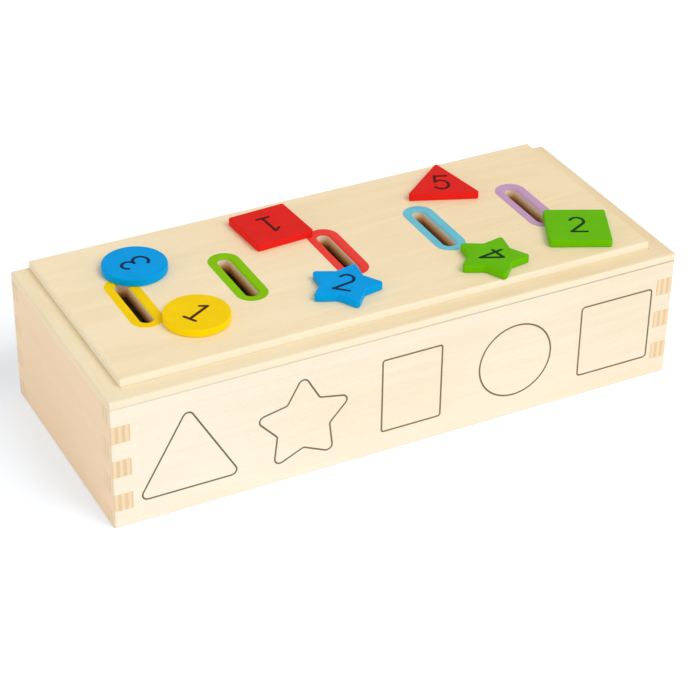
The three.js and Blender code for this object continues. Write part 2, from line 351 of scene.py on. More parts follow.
def wood_finish(name, tone, axes, seed, veneer_of=None, painted_shade=None):
    """Wood whose axes run across its face, along its width and along its fibres.

    veneer_of makes it plywood: it gives the number of the veneer at a place. painted_shade gives the
    share of painted shade at a place and a direction, and its colour.
    """
    across, width, length = axes
    material, place, direction = new_finish(name)
    fibres, figure, flecks = grain(place, length, seed)
    clouds = noise(place, along(length, CLOUD_SIZE * 2, CLOUD_SIZE), seed + 11)
    pores = noise(place, [PORE_SIZE] * 3, seed + 2, detail=3.0)
    end_grain = abs(direction.axis(length))
    edge_share = (1 - abs(direction.axis(across)).ramp(*FACE_TURN)) * EDGE_TINT
    glue = 0.0
    if veneer_of:
        veneer = veneer_of(place)
        turned = veneer.whole() % 2
        cross_fibres = noise(place, along(width, FIBRE_LENGTH, FIBRE_WIDTH), seed + 5, detail=3.0)
        fibres = fibres + turned * (cross_fibres - fibres)
        end_grain = end_grain + turned * (abs(direction.axis(width)) - end_grain)
        glue = abs(veneer % 1 - 0.5).ramp(*GLUE_PLACE) * edge_share * GLUE_SHARE
    end_share = end_grain.ramp(*END_GRAIN_TURN)
    long_share = (
        fibres.ramp(*FIBRE_CONTRAST) * FIBRE_SHARE + figure * FIGURE_SHARE
        + clouds.ramp(*CLOUD_CONTRAST) * CLOUD_SHARE + place.axis(X) * tone["drift"])
    long_colour = mixed(long_share, tone["pale"], tone["deep"])
    long_colour = mixed(flecks * FLECK_SHARE, long_colour, tone["fleck"])
    long_colour = mixed(edge_share, long_colour, tone["edge"])
    end_colour = mixed(pores.ramp(*PORE_CONTRAST), tone["end_pale"], tone["end_deep"])
    end_colour = mixed(pores * glue, end_colour, GLUE_BROWN)
    colour = mixed(end_share, long_colour, end_colour)
    # Painted shade, where the board has one, laid over the wood's colour.
    if painted_shade:
        painted_shade_share, painted_shade_colour = painted_shade(place, direction)
        colour = mixed(painted_shade_share, colour, painted_shade_colour)
    height = fibres * (1 - end_share) + pores * end_share - flecks * FLECK_DEPTH
    roughness = WOOD_ROUGHNESS + end_share * END_GRAIN_ROUGHNESS + fibres * FIBRE_ROUGHNESS
    close_finish(colour, roughness, height, WOOD_RELIEF, WOOD_SHINE)
    return material


print(f"wood has a relief of {WOOD_RELIEF / MM:.2f} mm")

# %% [markdown]
# The box is birch plywood, which is pale and almost without figure; its two end walls are painted
# warmer and darker, as painted shade, because the end that shows lies in shade. The lid and its rails
# are solid basswood, a little warmer and quieter still; their edges and end grain are painted paler
# than their faces, as painted light on the lit front and the shaded ends, and the side rails' outer
# faces are painted warmer again, as painted shade. The dividers and the floor are thin plywood of a
# darker kind, left bare. A tone is a set of colours: the palest and deepest along the fibres, the
# flecks, the edges and the end grain. Its drift makes the wood a little deeper towards the right, by
# that share for each metre.

# %% Mix the woods
BIRCH = {"drift": 1.8, **palette(
    pale=(252, 242, 222), deep=(246, 230, 201), fleck=(222, 190, 146), edge=(246, 220, 182),
    end_pale=(243, 214, 174), end_deep=(235, 203, 160))}
# Painted shade: the end walls are painted warmer and darker than the front, for the end that lies in
# shade.
SHADED_END_BIRCH = {**BIRCH, "drift": 0.0, **palette(
    pale=(252, 225, 190), deep=(248, 216, 175), edge=(245, 220, 180),
    end_pale=(238, 211, 171), end_deep=(227, 196, 152))}
# Painted light: the basswood's edges and end grain are paler than its face, so the lid's lit front and
# shaded ends show as bright as its top; the rails take the same.
BASSWOOD = {"drift": 2.0, **palette(
    pale=(247, 228, 190), deep=(237, 213, 170), fleck=(206, 172, 122), edge=(252, 244, 222),
    end_pale=(252, 242, 216), end_deep=(247, 230, 198))}
RAIL_WOOD = {**BASSWOOD, "drift": 2.4, **palette(
    pale=(241, 224, 188), deep=(231, 207, 164), edge=(249, 238, 211))}
# Painted shade: the outer faces of the side rails are painted warmer, like the shaded end walls.
SHADED_SIDE_RAIL_WOOD = {**RAIL_WOOD, **palette(edge=(250, 227, 188))}
BARE_PLY = {"drift": 0.0, **palette(
    pale=(228, 200, 154), deep=(208, 174, 124), fleck=(160, 120, 76), edge=(200, 168, 122),
    end_pale=(190, 148, 98), end_deep=(154, 112, 70))}
print("the front's palest birch is", [round(part, 2) for part in BIRCH["pale"]])

# %% [markdown]
# Two marks of painted shade darken the wood where little light gets in: a thin tan line along the
# joint under the rails, a little more to the right, and the walls of the slots, which go tan and then
# brown the deeper they are. Both are functions of the place and of the direction of the surface.

# %% Paint shade into the joints and the slots
# Painted shade: a thin tan line along the joint under the rails, a little darker to the right.
JOINT_CORE = 0.08 * MM
JOINT_REACH = 0.62 * MM
JOINT_SHARE = 0.76
JOINT_DRIFT = 2.2
JOINT_TAN = srgb(172, 140, 102)
LONG_SIDE_TURN = (0.5, 0.9)
# Painted shade in the slots: where it lies on their walls and how it darkens with depth.
SLOT_SHADE_ZONE = 160 * MM
SLOT_SHADE_FROM_FRONT = 20 * MM
SLOT_SHADE_FROM_BACK = 10 * MM
SLOT_WALL_TURN = (0.3, 0.7)
TAN_DEPTHS = (2 * MM, 6 * MM)
BROWN_DEPTHS = (4.2 * MM, 9.2 * MM)
SLOT_SHADE_TAN = srgb(255, 200, 140)
SLOT_SHADE_BROWN = srgb(154, 110, 58)
rail_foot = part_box("front_rail")[0].z
lid_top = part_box("lid_panel")[1].z


def joint_painted_shade(place, direction):
    """Painted shade along the joint under the long sides' rails, a little more to the right."""
    near = 1 - abs(place.axis(Z) - rail_foot).ramp(JOINT_CORE, JOINT_REACH)
    on_long_side = abs(direction.axis(Y)).ramp(*LONG_SIDE_TURN)
    return near * on_long_side * (place.axis(X) * JOINT_DRIFT + JOINT_SHARE), JOINT_TAN


def beyond(distance, limit):
    """1 where a distance is more than a millimetre past the limit, and 0 before the limit."""
    return distance.ramp(limit, limit + MM)


def slot_painted_shade(place, direction):
    """Painted shade on the walls of the slots: tan and, deeper down, brown."""
    upright = 1 - abs(direction.axis(Z)).ramp(*SLOT_WALL_TURN)
    inside = 1 - beyond(abs(place.axis(X)), SLOT_SHADE_ZONE)
    behind_front = beyond(place.axis(Y) - cad_low.y, SLOT_SHADE_FROM_FRONT)
    before_back = beyond(cad_high.y - place.axis(Y), SLOT_SHADE_FROM_BACK)
    depth = lid_top - place.axis(Z)
    share = upright * inside * behind_front * before_back * depth.ramp(*TAN_DEPTHS)
    return share, mixed(depth.ramp(*BROWN_DEPTHS), SLOT_SHADE_TAN, SLOT_SHADE_BROWN)


# The print gives where the painted joint shade lies and where the painted shade in the slots starts.
print(f"glue line at {rail_foot / MM:.1f} mm, slots scorched from {lid_top / MM:.1f} mm down")

# %% [markdown]
# A board's finish has to know how its wood lies. Its shortest side is its thickness and its longest is
# the way its fibres run, so both can be read from its box. The plywood has two thin face veneers over
# five thicker ones, so its edge shows a thin stripe, five broad ones and a thin one again. The count of
# veneers stops a hair inside the two faces, where rounding errors would start another one.

# %% Lay the wood in the boards
VENEER_COUNT = 7
FACE_VENEER = 0.8 * MM
FACE_HAIR = 0.01


def board_axes(low, high):
    """The axes of a board's thickness, width and length, which are its sides from short to long."""
    sides = high - low
    return sorted(range(3), key=lambda index: sides[index])


def ply_finish(node_name, tone, seed, painted_shade):
    """Plywood for one flat board, whose veneers are counted from one face to the other."""
    low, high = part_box(node_name)
    axes = board_axes(low, high)
    across = axes[0]
    inner_veneer = (high[across] - low[across] - 2 * FACE_VENEER) / (VENEER_COUNT - 2)

    def veneer_of(place):
        count = (place.axis(across) - low[across] - FACE_VENEER) / inner_veneer + 1
        return count.at_least(FACE_HAIR).at_most(VENEER_COUNT - FACE_HAIR)

    return wood_finish(f"{node_name}_ply", tone, axes, seed, veneer_of, painted_shade)


def solid_finish(node_name, tone, seed, painted_shade):
    """Solid wood for one board, which has no veneers."""
    axes = board_axes(*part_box(node_name))
    return wood_finish(f"{node_name}_solid", tone, axes, seed, painted_shade=painted_shade)


# %% [markdown]
# The boards keep the shape that the construction gives them. A sharp edge never looks real, though,
# because every sawn and sanded edge is a little round and catches the light. A Bevel modifier rounds
# each edge by its own weight: a hair's breadth at the finger joints, a little more where the front rail
# meets the front wall, where two rounded edges leave the thin dark line that shows on the toy, and most
# on the upright corners of the lid's raised field.

# %% Choose how round each edge is
SHARP = math.radians(35)
TOUCHING = 0.6 * MM
FINE_EDGE = 0.14 * MM
JOINT_EDGE = 0.4 * MM
FOOT_EDGE = 0.5 * MM
LID_CORNER = 0.8 * MM
WIDEST_EDGE = LID_CORNER
rail_inside = Vector((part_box("left_rail")[1].x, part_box("front_rail")[1].y))


def edge_width(middle):
    """How far an edge is rounded, by the place of its middle."""
    on_end = min(abs(middle.x - cad_low.x), abs(middle.x - cad_high.x)) < TOUCHING
    on_long_side = min(abs(middle.y - cad_low.y), abs(middle.y - cad_high.y)) < TOUCHING
    if on_long_side and abs(middle.z - rail_foot) < TOUCHING:
        return JOINT_EDGE
    if (on_end or on_long_side) and middle.z < TOUCHING:
        return FOOT_EDGE
    if (Vector((-abs(middle.x), middle.y)) - rail_inside).length < TOUCHING:
        return LID_CORNER
    return FINE_EDGE


def soften(work):
    """Gives every sharp edge its weight for the Bevel modifier."""
    weight = work.edges.layers.float.new("bevel_weight_edge")
    for edge in work.edges:
        if edge.calc_face_angle(0) > SHARP:
            middle = (edge.verts[0].co + edge.verts[1].co) / 2
            edge[weight] = edge_width(middle) / WIDEST_EDGE


print(f"edges rounded by {FINE_EDGE / MM:.2f} to {WIDEST_EDGE / MM:.2f} mm")

# %% [markdown]
# The construction's boards are loose triangles, so each board is a copy whose triangles are joined into
# whole faces first. The lid has a little play between its rails and lies against the left one, which
# closes the gap there. A Weighted Normal modifier comes after the Bevel: it lets the large flat faces
# decide the shading, so that a rounded edge doesn't bend the light on the face beside it.

# %% Copy and round a board
MERGE_DISTANCE = 0.001 * MM
FLAT_ENOUGH = math.radians(1)
LEANING_GAP = 0.04 * MM
ROUNDING_STEPS = 3
BY_FACE_AREA = 100


def joined_copy(node_name):
    """A copy of a node's mesh with its loose triangles merged and its flat areas made one face each."""
    work = bmesh.new()
    work.from_mesh(nodes[node_name].data)
    bmesh.ops.remove_doubles(work, verts=work.verts, dist=MERGE_DISTANCE)
    bmesh.ops.dissolve_limit(work, angle_limit=FLAT_ENOUGH, verts=work.verts, edges=work.edges)
    return work


def finished_object(name, work, material):
    """A smoothly shaded object of one material, from the mesh that was worked on."""
    mesh = bpy.data.meshes.new(name)
    work.to_mesh(mesh)
    work.free()
    mesh.polygons.foreach_set("use_smooth", [True] * len(mesh.polygons))
    mesh.materials.append(material)
    return linked_object(name, mesh)


def shade_by_area(piece):
    shading = piece.modifiers.new("shading", "WEIGHTED_NORMAL")
    shading.weight = BY_FACE_AREA


def lean_left(work):
    """Moves the left end of the lid's raised field up to the rail."""
    for vertex in work.verts:
        if abs(vertex.co.x - rail_inside.x) < TOUCHING:
            vertex.co.x = rail_inside.x + LEANING_GAP


def add_board(node_name, material):
    work = joined_copy(node_name)
    if node_name == "lid_panel":
        lean_left(work)
    soften(work)
    piece = finished_object(f"{node_name}_board", work, material)
    rounding = piece.modifiers.new("rounding", "BEVEL")
    rounding.limit_method = "WEIGHT"
    rounding.width = WIDEST_EDGE
    rounding.segments = ROUNDING_STEPS
    rounding.use_clamp_overlap = False
    shade_by_area(piece)
    body = nodes[node_name]["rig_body"]
    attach(piece, body)
    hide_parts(node_name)
    return piece


print(f"the lid's field is {LEANING_GAP / MM:.2f} mm from the rail at {rail_inside.x / MM:.1f} mm")

# %% [markdown]
# The boards come in four groups. A group has its kind of wood, the tone of each board, the seed of its
# first board, its painted shade and its slot in the construction's record.

# %% Build the boards
SEED_STEP = 10.0
WALL_TONES = {
    "front_wall": BIRCH, "back_wall": BIRCH, "left_wall": SHADED_END_BIRCH, "right_wall": SHADED_END_BIRCH,
}
RAIL_TONES = {"front_rail": RAIL_WOOD, "left_rail": SHADED_SIDE_RAIL_WOOD, "right_rail": SHADED_SIDE_RAIL_WOOD}
dividers = sorted(name for name in nodes if name.startswith("divider_"))
INNER_TONES = {name: BARE_PLY for name in dividers + ["floor_panel"]}
BOARD_GROUPS = [
    (ply_finish, WALL_TONES, 0.0, joint_painted_shade, "face_veneer"),
    (solid_finish, RAIL_TONES, 50.0, joint_painted_shade, "face_veneer"),
    (solid_finish, {"lid_panel": BASSWOOD}, 80.0, slot_painted_shade, "face_veneer"),
    (ply_finish, INNER_TONES, 100.0, None, "inner_veneer"),
]
for finish_of, tones, first_seed, painted_shade, slot in BOARD_GROUPS:
    for index, (name, tone) in enumerate(tones.items()):
        finish = finish_of(name, tone, first_seed + SEED_STEP * index, painted_shade)
        add_board(name, finish)

# %% [markdown]
# The shapes are drawn the way a designer draws them: a few corner points, each with its rounding. The
# same function gives the outline moved inwards by any distance, because an arc keeps its centre and
# only its radius changes. The outlines on the front and the rounded edges of the tokens use it.

# %% Draw the five shapes
ARC_STEPS = 8
ROUND_STEPS = 96


def rounded_outline(corners, radii, inset=0.0, steps=ARC_STEPS):
    """A closed outline, counter-clockwise: each corner has its radius, and inset moves it inwards."""
    points = []
    for index, corner in enumerate(corners):
        to_before = (corners[index - 1] - corner).normalized()
        to_after = (corners[(index + 1) % len(corners)] - corner).normalized()
        half = to_before.angle(to_after) / 2
        bends_in = to_before.cross(to_after) > 0
        centre = corner + (to_before + to_after).normalized() * (radii[index] / math.sin(half))
        start = corner + to_before * (radii[index] / math.tan(half)) - centre
        sweep = (math.pi - 2 * half) * (-1 if bends_in else 1)
        radius = radii[index] + (inset if bends_in else -inset)
        for step in range(steps + 1):
            spoke = start.normalized() * radius
            spoke.rotate(Matrix.Rotation(sweep * step / steps, 2))
            points.append(centre + spoke)
    return points


def points_round(count, radius_of):
    """Points at equal angles round the middle, the first one straight up."""
    angles = [math.pi / 2 + index * 2 * math.pi / count for index in range(count)]
    return [Vector((math.cos(angle), math.sin(angle))) * radius_of(index)
            for index, angle in enumerate(angles)]


def circle_outline(diameter, inset=0.0):
    return points_round(ROUND_STEPS, lambda index: diameter / 2 - inset)


def box_outline(width, height, radius, inset=0.0, steps=ARC_STEPS):
    signs = ((-1, -1), (1, -1), (1, 1), (-1, 1))
    corners = [Vector((x * width / 2, y * height / 2)) for x, y in signs]
    return rounded_outline(corners, [radius] * 4, inset, steps)


def triangle_outline(side, radius, inset=0.0):
    return rounded_outline(points_round(3, lambda index: side / math.sqrt(3)), [radius] * 3, inset)


def star_outline(diameter, waist_share, tip_radius, waist_radius, inset=0.0):
    """A star of five points, whose waist is a share of its diameter across the points."""
    corners = points_round(10, lambda index: diameter / 2 * (waist_share if index % 2 else 1))
    return rounded_outline(corners, [tip_radius, waist_radius] * 5, inset)


def extent(points):
    """Width and height of an outline."""
    columns = [[point[axis] for point in points] for axis in (X, Y)]
    return [max(column) - min(column) for column in columns]


TOKEN_SHAPES = {
    "triangle": lambda inset: triangle_outline(side=46.9 * MM, radius=1.6 * MM, inset=inset),
    "star": lambda inset: star_outline(
        diameter=47.6 * MM, waist_share=0.6, tip_radius=1.9 * MM, waist_radius=2.4 * MM, inset=inset),
    "rectangle": lambda inset: box_outline(
        width=38.5 * MM, height=31 * MM, radius=1.8 * MM, inset=inset),
    "circle": lambda inset: circle_outline(diameter=40 * MM, inset=inset),
    "square": lambda inset: box_outline(
        width=39 * MM, height=39 * MM, radius=1.8 * MM, inset=inset),
}
for shape, outline in TOKEN_SHAPES.items():
    print(shape, [round(side / MM, 1) for side in extent(outline(0.0))], "mm")

# %% [markdown]
# A painted token is a flat piece of wood under two or three coats of satin paint. The paint fills the
# fibres but doesn't hide them all, so the colour is nearly even while a faint relief runs along the
# token's own grain. The upright sides are painted brighter than the top, as painted light for the light
# that falls on them. Each token is turned its own way, so the pattern can't read the place in the box:
# it reads an attribute, own_place, that keeps where each point was before the token was put down.

# %% Mix the paints
PAINTS = palette(
    yellow=(249, 208, 4), green=(101, 184, 0), red=(225, 33, 27), blue=(0, 156, 228),
    purple=(152, 112, 196))
# Painted light: the upright sides of every paint are made this much brighter.
PAINTED_SIDE_LIGHT = 1.14
SIDE_TURN = (0.3, 0.9)
THIN_GAIN = 0.88
THIN_CLOUD_SHARE, THIN_FIBRE_SHARE = 0.5, 0.35
BRUSHED_CONTRAST = (0.3, 0.7)
SHOWING_FIBRES = (0.45, 0.8)
BRUSHED_CLOUD = 14 * MM
PEEL_SIZE = 0.9 * MM
FIBRE_HEIGHT, PEEL_HEIGHT = 0.6, 0.4
PAINT_RELIEF = 0.015 * MM
PAINT_ROUGHNESS, ROUGHER_CLOUDS = 0.36, 0.1
PAINT_SHINE = 0.03


def brightened(colour, gain):
    return (*[min(value * gain, 1.0) for value in colour[:3]], 1.0)


def paint_finish(name, colour, uses_own_place=False):
    """Satin paint over wood: thinner in soft clouds and on the fibres, with painted light on upright
    sides.
    """
    material, place, direction = new_finish(name)
    if uses_own_place:
        place = place.node("ShaderNodeAttribute", {"attribute_name": "own_place"}, output="Vector")
    fibres = noise(place, along(X, FIBRE_LENGTH, FIBRE_WIDTH), seed=4.0, detail=3.0)
    clouds = noise(place, [BRUSHED_CLOUD] * 3, seed=8.0)
    peel = noise(place, [PEEL_SIZE] * 3, seed=12.0, detail=1.0)
    thinner = (
        clouds.ramp(*BRUSHED_CONTRAST) * THIN_CLOUD_SHARE
        + fibres.ramp(*SHOWING_FIBRES) * THIN_FIBRE_SHARE)
    painted = mixed(thinner, colour, brightened(colour, THIN_GAIN))
    # Painted light: the upright sides are brightened, standing in for the light that falls on them.
    upright = 1 - abs(direction.axis(Z)).ramp(*SIDE_TURN)
    painted = mixed(upright, painted, brightened(colour, PAINTED_SIDE_LIGHT))
    roughness = PAINT_ROUGHNESS + clouds * ROUGHER_CLOUDS
    height = fibres * FIBRE_HEIGHT + peel * PEEL_HEIGHT
    close_finish(painted, roughness, height, PAINT_RELIEF, PAINT_SHINE)
    return material


token_paints = {
    name: paint_finish(f"{name}_token_paint", colour, uses_own_place=True)
    for name, colour in PAINTS.items()
}
print("paints:", ", ".join(token_paints))

# %% [markdown]
# Seven tokens lie on the lid and eighteen in the bays, where two of them stand on edge. Each one's place
# comes from the construction: the centre of its solid. Only how far those on the lid are turned is
# written here, in degrees, because a round token's solid doesn't tell it.

# %% Find where each token lies
LID_TURNS = {
    "circle_1": -60.6, "circle_3": 101, "square_1": 183.5, "square_2": -25.2,
    "star_2": -42.3, "star_4": 99.2, "triangle_5": -21.5,
}
ON_EDGE = Matrix(((0, 0, 1), (1, 0, 0), (0, 1, 0))).to_4x4()
token_keys = [f"{shape}_{number}" for shape in TOKEN_SHAPES for number in range(1, 6)]
token_low, token_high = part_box("square_token_3")
token_thickness = token_high.z - token_low.z


def token_node(key):
    shape, number = key.split("_")
    return f"{shape}_token_{number}"


def stands_on_edge(key):
    low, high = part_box(token_node(key))
    return high.z - low.z > 2 * token_thickness


def solid_centre(node_name):
    """Centre of a node's volume, summed over the tetrahedra that its triangles make with the origin."""
    mesh = nodes[node_name].data
    mesh.calc_loop_triangles()
    volume = 0.0
    moment = Vector()
    for triangle in mesh.loop_triangles:
        a, b, c = (mesh.vertices[index].co for index in triangle.vertices)
        part = a.dot(b.cross(c)) / 6
        volume += part
        moment += (a + b + c) * part / 4
    return moment / volume


def token_place(key):
    """Where a token lies, as a matrix that moves it there from its own middle."""
    lying = Matrix.Rotation(math.radians(LID_TURNS.get(key, 0)), 4, "Z")
    turn = ON_EDGE if stands_on_edge(key) else lying
    return Matrix.Translation(solid_centre(token_node(key))) @ turn


print(f"{len(token_keys)} tokens, on edge:", ", ".join(filter(stands_on_edge, token_keys)))

# %% [markdown]
# The tokens are built again instead of being copied, because their edges have to be smoother than the
# construction's facets. A token is a stack of outlines: from the bottom up, each is a little less inset
# than the one below along a quarter of a circle, then the same again at the top. The paints go round:
# number 1 of each shape starts with another one, and each number after it steps one paint back, so
# every shape comes once in every colour.

# %% Cut the tokens
TOKEN_EDGE = 0.8 * MM
TOKEN_EDGE_STEPS = 5
PAINT_ORDER = list(PAINTS)
FIRST_PAINT = {
    "triangle": "green", "star": "purple", "rectangle": "blue", "circle": "yellow", "square": "red",
}


def token_paint_name(shape, number):
    """The paint of a token: its shape's first one for number 1, and one back for each after it."""
    first = PAINT_ORDER.index(FIRST_PAINT[shape])
    return PAINT_ORDER[(first + 1 - number) % len(PAINT_ORDER)]


def token_rings(outline_of):
    """The stack of outlines, from the bottom up, round the token's own middle."""
    levels = []
    for step in range(TOKEN_EDGE_STEPS + 1):
        angle = math.pi / 2 * step / TOKEN_EDGE_STEPS
        levels.append((TOKEN_EDGE * (1 - math.sin(angle)), TOKEN_EDGE * (1 - math.cos(angle))))
    levels += [(inset, token_thickness - rise) for inset, rise in reversed(levels)]
    return [[point.to_3d() + Vector((0, 0, rise - token_thickness / 2)) for point in outline_of(inset)]
            for inset, rise in levels]


def add_token(key):
    shape, number = key.split("_")
    rings = token_rings(TOKEN_SHAPES[shape])
    place = token_place(key)
    work = bmesh.new()
    own = work.verts.layers.float_vector.new("own_place")
    stack = []
    for ring in rings:
        stack.append([work.verts.new(place @ point) for point in ring])
        for vertex, point in zip(stack[-1], ring):
            vertex[own] = point
    for lower, upper in zip(stack, stack[1:]):
        for index in range(len(lower)):
            work.faces.new((lower[index - 1], lower[index], upper[index], upper[index - 1]))
    work.faces.new(reversed(stack[0]))
    work.faces.new(stack[-1])
    paint_name = token_paint_name(shape, int(number))
    token = finished_object(f"{key}_painted", work, token_paints[paint_name])
    shade_by_area(token)
    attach(token, key)
    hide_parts(token_node(key))
    return token


tokens = {key: add_token(key) for key in token_keys}
print(f"{len(tokens)} tokens, {token_thickness / MM:.1f} mm thick")

# %% [markdown]
# Everything printed or painted as a line, the numbers, the rings round the slots and the outlines on
# the front, is a thin film that follows a path. One Geometry Nodes tree makes them all. It sweeps a
# section along a curve that lies in a plane, and puts a round dot on each open end, a little thicker
# than the line, so that two strokes that meet also make a round corner. The section is an input, drawn
# as a closed curve of its own, so a hairline and a band that wraps over an edge are the same tree.

# %% Build the painted line
DOT_SIDES = 20
DOT_LIFT = 1.12
LINE_INPUTS = {
    "Section": "Object", "Dot Width": "Float", "Dot Thickness": "Float", "Paint": "Material",
}


def painted_line_tree():
    """The tree, and the identifiers of its inputs by name."""
    tree = bpy.data.node_groups.new("painted_line", "GeometryNodeTree")
    tree.interface.new_socket("Path", in_out="INPUT", socket_type="NodeSocketGeometry")
    keys = {}
    for name, kind in LINE_INPUTS.items():
        added = tree.interface.new_socket(name, in_out="INPUT", socket_type=f"NodeSocket{kind}")
        keys[name] = added.identifier
    tree.interface.new_socket("Line", in_out="OUTPUT", socket_type="NodeSocketGeometry")

    start = Wire(tree)
    path = start.node("NodeGroupInput", output="Path")
    given = {name: start.node("NodeGroupInput", output=name) for name in LINE_INPUTS}
    level_path = path.node("GeometryNodeSetCurveNormal", {"mode": "Z_UP"}, {"Curve": path})
    section = path.node(
        "GeometryNodeObjectInfo", inputs={"Object": given["Section"]}, output="Geometry")
    band = path.node("GeometryNodeCurveToMesh", inputs={
        "Curve": level_path, "Profile Curve": section, "Fill Caps": True})

    dot = path.node("GeometryNodeMeshCylinder", inputs={
        "Vertices": DOT_SIDES,
        "Radius": given["Dot Width"] / 2,
        "Depth": given["Dot Thickness"] * DOT_LIFT,
    })
    closed = path.node("GeometryNodeInputSplineCyclic")
    ends = path.node("GeometryNodeCurveEndpointSelection")
    open_ends = path.node("FunctionNodeBooleanMath", {"operation": "NIMPLY"}, {0: ends, 1: closed})
    dots = path.node("GeometryNodeInstanceOnPoints", inputs={
        "Points": path, "Selection": open_ends, "Instance": dot})
    dots = path.node("GeometryNodeRealizeInstances", inputs={"Geometry": dots})

    join = tree.nodes.new("GeometryNodeJoinGeometry")
    tree.links.new(band.socket, join.inputs[0])
    tree.links.new(dots.socket, join.inputs[0])
    joined = Wire(tree, join.outputs[0])
    whole = path.node("GeometryNodeRealizeInstances", inputs={"Geometry": joined})
    painted = path.node("GeometryNodeSetMaterial", inputs={
        "Geometry": whole, "Material": given["Paint"]})
    path.node("NodeGroupOutput", inputs={"Line": painted})
    return tree, keys


line_tree, line_keys = painted_line_tree()
print("inputs of the painted line:", ", ".join(line_keys))

# %% [markdown]
# The strokes become a curve and the section another one. The swept line is turned into a plain mesh,
# and the two curves are thrown away. Sweeping can leave faces that look inwards, so all are turned
# outwards before the line is laid in its place.

# %% Sweep a painted line
FILM_EDGE_SHARE = 0.4
SECTION_STEPS = 2


def curve_object(name, strokes):
    """A curve object with one spline for each stroke: its points in metres and whether it is closed."""
    curve = bpy.data.curves.new(name, "CURVE")
    curve.dimensions = "3D"
    for points, is_closed in strokes:
        spline = curve.splines.new("POLY")
        spline.points.add(len(points) - 1)
        for spot, point in zip(spline.points, points):
            spot.co = (*point, 1.0)
        spline.use_cyclic_u = is_closed
    return linked_object(name, curve)


def flat_section(width, thickness):
    """The section of a plain line, with slightly rounded edges."""
    return box_outline(width, thickness, thickness * FILM_EDGE_SHARE, steps=SECTION_STEPS)


def face_outwards(mesh):
    work = bmesh.new()
    work.from_mesh(mesh)
    bmesh.ops.recalc_face_normals(work, faces=work.faces)
    work.to_mesh(mesh)
    work.free()


def add_painted_line(name, strokes, section, paint, place, body):
    """Sweeps the section along the strokes, as a plain mesh, and sets it in its place on a body.

    The section's points are distances to the right of the path's course and up from its plane.
    """
    section_points = [(across, -up, 0) for across, up in section]
    carrier = curve_object(f"{name}_path", strokes)
    profile = curve_object(f"{name}_section", [(section_points, True)])
    sweep = carrier.modifiers.new("painted_line", "NODES")
    sweep.node_group = line_tree
    sweep[line_keys["Section"]] = profile
    sweep[line_keys["Dot Width"]], sweep[line_keys["Dot Thickness"]] = extent(section)
    sweep[line_keys["Paint"]] = paint
    view = bpy.context.evaluated_depsgraph_get()
    mesh = bpy.data.meshes.new_from_object(carrier.evaluated_get(view), depsgraph=view)
    bpy.data.objects.remove(carrier)
    bpy.data.objects.remove(profile)
    face_outwards(mesh)
    mesh.name = name
    mesh.transform(place)
    line = linked_object(name, mesh)
    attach(line, body)
    return line


print("a flat section has", len(flat_section(MM, MM)), "points")

# %% [markdown]
# The numbers are plain ones, drawn with strokes as a sign painter draws them. A stroke is a straight
# run or an arc in a frame one unit high, and strokes that meet at a corner are written apart, so that
# the painted line puts its round dot there. Each stroke lies a hair above the one before, because two
# surfaces at exactly the same height would fight over which one shows. The ink is thin, so a little of
# the paint below it shows through.

# %% Print the numbers
NUMBER_HEIGHT = 18 * MM
NUMBER_STROKE = 2.05 * MM
FILM = 0.1 * MM
STROKE_STEP = 0.008 * MM
STROKE_ARC_STEPS = 18


def arc(centre_x, centre_y, radius_x, radius_y, start, end, steps=STROKE_ARC_STEPS):
    """Points on an ellipse from one angle to another, in degrees."""
    angles = [math.radians(start + (end - start) * step / steps) for step in range(steps + 1)]
    return [(centre_x + radius_x * math.cos(angle), centre_y + radius_y * math.sin(angle))
            for angle in angles]


NUMBER_STROKES = {
    1: [[(-0.14, 0.34), (0.07, 0.49)], [(0.07, 0.49), (0.07, -0.46)], [(-0.16, -0.46), (0.29, -0.46)]],
    2: [arc(0.0, 0.23, 0.24, 0.26, 160, -30) + [(-0.26, -0.47)], [(-0.26, -0.47), (0.28, -0.47)]],
    3: [arc(-0.03, 0.26, 0.22, 0.23, 150, -90), arc(-0.02, -0.23, 0.28, 0.26, 90, -150)],
    4: [[(0.07, 0.46), (-0.36, -0.2)], [(-0.36, -0.2), (0.22, -0.2)], [(0.07, 0.46), (0.07, -0.45)]],
    5: [[(0.23, 0.53), (-0.18, 0.53)], [(-0.18, 0.53), (-0.21, 0.1)],
        [(-0.21, 0.1)] + arc(-0.02, -0.1, 0.27, 0.31, 125, -145)],
}
INKS = palette(
    yellow=(78, 42, 8), green=(14, 58, 6), red=(82, 12, 12), blue=(6, 42, 80),
    purple=(48, 34, 72))
inks = {name: paint_finish(f"{name}_ink", colour) for name, colour in INKS.items()}
token_top = Matrix.Translation((0, 0, token_thickness / 2))


def number_strokes(number):
    """The strokes of a number at its real size, each a hair above the one before."""
    strokes = []
    for index, points in enumerate(NUMBER_STROKES[number]):
        rise = index * STROKE_STEP
        strokes.append(([(x * NUMBER_HEIGHT, y * NUMBER_HEIGHT, rise) for x, y in points], False))
    return strokes


for key in token_keys:
    shape, number = key.split("_")
    paint_name = token_paint_name(shape, int(number))
    add_painted_line(
        f"{key}_number", number_strokes(int(number)), flat_section(NUMBER_STROKE, FILM),
        inks[paint_name], token_place(key) @ token_top, key)
print("numbers are", NUMBER_HEIGHT / MM, "mm high")

# %% [markdown]
# Each slot has a ring of paint round it, brushed on over the slot's eased edge and a little way down
# its wall. So the path is the wall's own outline, and the section is an angle that hugs the wood: over
# the lid, down the slope of the edge, and down the wall. The places of the slots come from the
# openings that the construction's record states, so a ring can't miss its slot.

